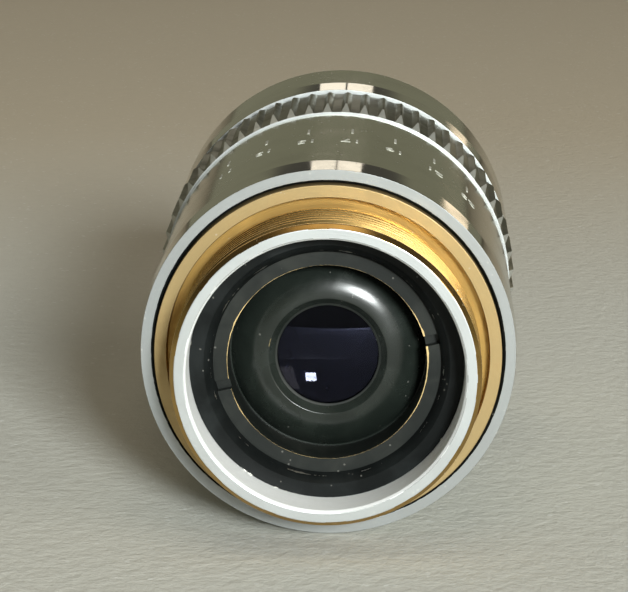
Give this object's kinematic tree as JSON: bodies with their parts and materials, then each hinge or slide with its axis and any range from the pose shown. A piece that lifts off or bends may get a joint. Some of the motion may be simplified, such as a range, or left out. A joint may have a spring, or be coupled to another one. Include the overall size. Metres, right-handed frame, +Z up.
{
  "type": "microscope objective",
  "caption": "Microscope objective lying on its side: brass screw mount, chrome barrel with a fluted correction collar, and a recessed rear lens in black cells.",
  "frame": {"origin": "on the optical axis, at the plane of the mounting shoulder, where the thread ends", "axes": "+Y along the optical axis from the thread to the nose, +Z up as it lies in the picture, +X to the right"},
  "size_m": [0.0262, 0.0489, 0.0262],
  "materials": {
    "brass": "turned brass, end face and bore plated satin silver",
    "chrome": "polished chrome plate",
    "black_brass": "semi-gloss black on brass, worn at the edges",
    "grey_brass": "dark grey on brass, worn at the edges",
    "bronze": "plain turned bronze",
    "pin_steel": "ground steel",
    "coated_glass": "coated optical glass, exposed",
    "clear_glass": "optical glass, inside"
  },
  "bodies": {
    "barrel": {"rear_mount": "brass", "outer_barrel": "chrome", "guide_tube": "black_brass", "collar_washer": "bronze", "front_barrel": "chrome", "nose_cone": "chrome", "retaining_ring": "grey_brass", "rear_cell": "black_brass", "rear_doublet": "coated_glass", "rear_ring": "black_brass", "aperture_stop": "black_brass", "rear_spacer": "black_brass", "front_doublet_cell": "black_brass", "front_doublet": "clear_glass", "meniscus_cell": "black_brass", "meniscus": "clear_glass", "front_ring": "black_brass", "front_lens": "coated_glass"},
    "collar": {"correction_collar": "chrome", "cam_sleeve": "bronze"},
    "carriage": {"carriage": "black_brass", "drive_pin": "pin_steel", "corrector_doublet": "clear_glass", "corrector_ring": "black_brass"}
  },
  "joints": [
    {"name": "collar_turn", "type": "hinge", "parent": "barrel", "child": "collar", "pos_m": [0, 0.02545, 0], "axis": [0, 1, 0], "range_deg": [-60, 60]},
    {"name": "carriage_slide", "type": "slide", "parent": "barrel", "child": "carriage", "axis": [0, 1, 0], "range_m": [-0.0008, 0.0008]}
  ],
  "couplings": [
    {"joint": "carriage_slide", "follows": "collar_turn", "m_per_rad": -0.00076394}
  ]
}
